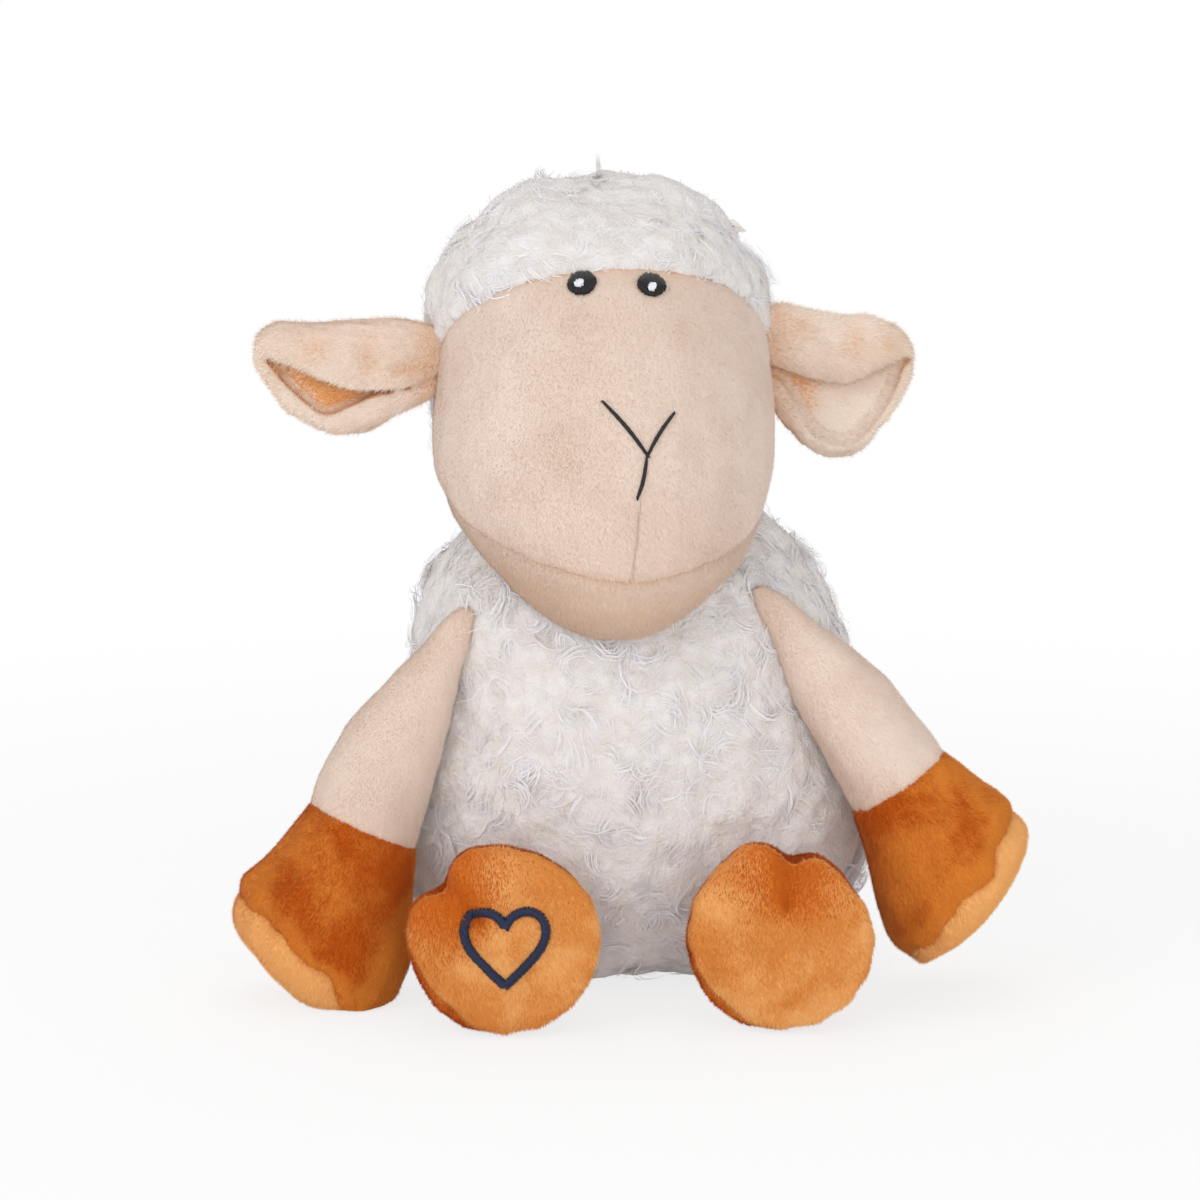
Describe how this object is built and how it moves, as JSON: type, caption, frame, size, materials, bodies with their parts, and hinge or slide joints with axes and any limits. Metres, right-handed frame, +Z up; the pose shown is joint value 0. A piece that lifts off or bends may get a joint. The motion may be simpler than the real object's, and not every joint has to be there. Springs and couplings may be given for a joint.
{
  "type": "plush sheep toy",
  "caption": "Seated plush sheep with a curly white fleece body and cap, cream face, ears and limbs, and brown hooves.",
  "frame": {"origin": "middle of the bounding box in plan, at the height of the floor that the sheep sits on", "axes": "+Z up; the sheep faces -Y; its own left side is +X"},
  "size_m": [0.2716, 0.174, 0.2745],
  "materials": {
    "white_fleece": "curly fleece",
    "cream_pile": "short brushed pile",
    "cream_ear_lining": "short brushed pile",
    "brown_hoof_pile": "short brushed pile",
    "tan_sole_pile": "short brushed pile",
    "black_thread": "satin stitched thread",
    "white_thread": "satin stitched thread",
    "navy_thread": "satin stitched thread",
    "filling": "loose fibre"
  },
  "bodies": {
    "torso": {"torso_cover": "white_fleece", "torso_filling": "filling"},
    "neck": {"neck_filling": "filling"},
    "head": {"head_fleece_cap": "white_fleece", "face_panel": "cream_pile", "chin_panel": "cream_pile", "head_filling": "filling", "right_eye": "black_thread", "left_eye": "black_thread", "right_eye_glint": "white_thread", "left_eye_glint": "white_thread", "right_nose_stitch": "black_thread", "left_nose_stitch": "black_thread", "mouth_stitch": "black_thread"},
    "right_ear": {"right_ear_back": "cream_pile", "right_ear_front": "cream_ear_lining"},
    "right_shoulder": {"right_shoulder_knot": "cream_pile"},
    "right_arm": {"right_arm_sleeve": "cream_pile", "right_arm_hoof_cuff": "brown_hoof_pile", "right_arm_sole": "tan_sole_pile", "right_arm_filling": "filling"},
    "right_leg": {"right_leg_sleeve": "cream_pile", "right_leg_hoof_cuff": "brown_hoof_pile", "right_leg_sole": "tan_sole_pile", "right_leg_filling": "filling", "right_foot_embroidery": "navy_thread"},
    "left_ear": {"left_ear_back": "cream_pile", "left_ear_front": "cream_ear_lining"},
    "left_shoulder": {"left_shoulder_knot": "cream_pile"},
    "left_arm": {"left_arm_sleeve": "cream_pile", "left_arm_hoof_cuff": "brown_hoof_pile", "left_arm_sole": "tan_sole_pile", "left_arm_filling": "filling"},
    "left_leg": {"left_leg_sleeve": "cream_pile", "left_leg_hoof_cuff": "brown_hoof_pile", "left_leg_sole": "tan_sole_pile", "left_leg_filling": "filling"}
  },
  "joints": [
    {"name": "neck_turn", "type": "hinge", "parent": "torso", "child": "neck", "pos_m": [-0.01517, 0.02096, 0.169], "axis": [0, 0, 1], "range_deg": [-15, 15]},
    {"name": "head_nod", "type": "hinge", "parent": "neck", "child": "head", "pos_m": [-0.01517, 0.02096, 0.169], "axis": [0.9903, 0.1392, 0], "range_deg": [-12, 0]},
    {"name": "right_ear_flap", "type": "hinge", "parent": "head", "child": "right_ear", "pos_m": [-0.07152, -0.00058, 0.2145], "axis": [0, 0, 1], "range_deg": [-25, 25]},
    {"name": "left_ear_flap", "type": "hinge", "parent": "head", "child": "left_ear", "pos_m": [0.04494, 0.01579, 0.2145], "axis": [0, 0, 1], "range_deg": [-25, 25]},
    {"name": "right_arm_swing", "type": "hinge", "parent": "torso", "child": "right_shoulder", "pos_m": [-0.05711, -0.01657, 0.132], "axis": [0.9781, -0.2079, 0], "range_deg": [-60, 0]},
    {"name": "right_arm_raise", "type": "hinge", "parent": "right_shoulder", "child": "right_arm", "pos_m": [-0.05711, -0.01657, 0.132], "axis": [0.2079, 0.9781, 0], "range_deg": [0, 60]},
    {"name": "left_arm_swing", "type": "hinge", "parent": "torso", "child": "left_shoulder", "pos_m": [0.03864, -0.01862, 0.139], "axis": [0.9781, 0.2079, 0], "range_deg": [-60, 0]},
    {"name": "left_arm_raise", "type": "hinge", "parent": "left_shoulder", "child": "left_arm", "pos_m": [0.03864, -0.01862, 0.139], "axis": [-0.2079, 0.9781, 0], "range_deg": [-60, 0]},
    {"name": "right_leg_swing", "type": "hinge", "parent": "torso", "child": "right_leg", "pos_m": [-0.04639, -0.03261, 0.02959], "axis": [0.8988, -0.4384, 0], "range_deg": [-40, 60]},
    {"name": "left_leg_swing", "type": "hinge", "parent": "torso", "child": "left_leg", "pos_m": [0.04741, -0.02829, 0.02959], "axis": [0.866, 0.5, 0], "range_deg": [-40, 60]}
  ]
}
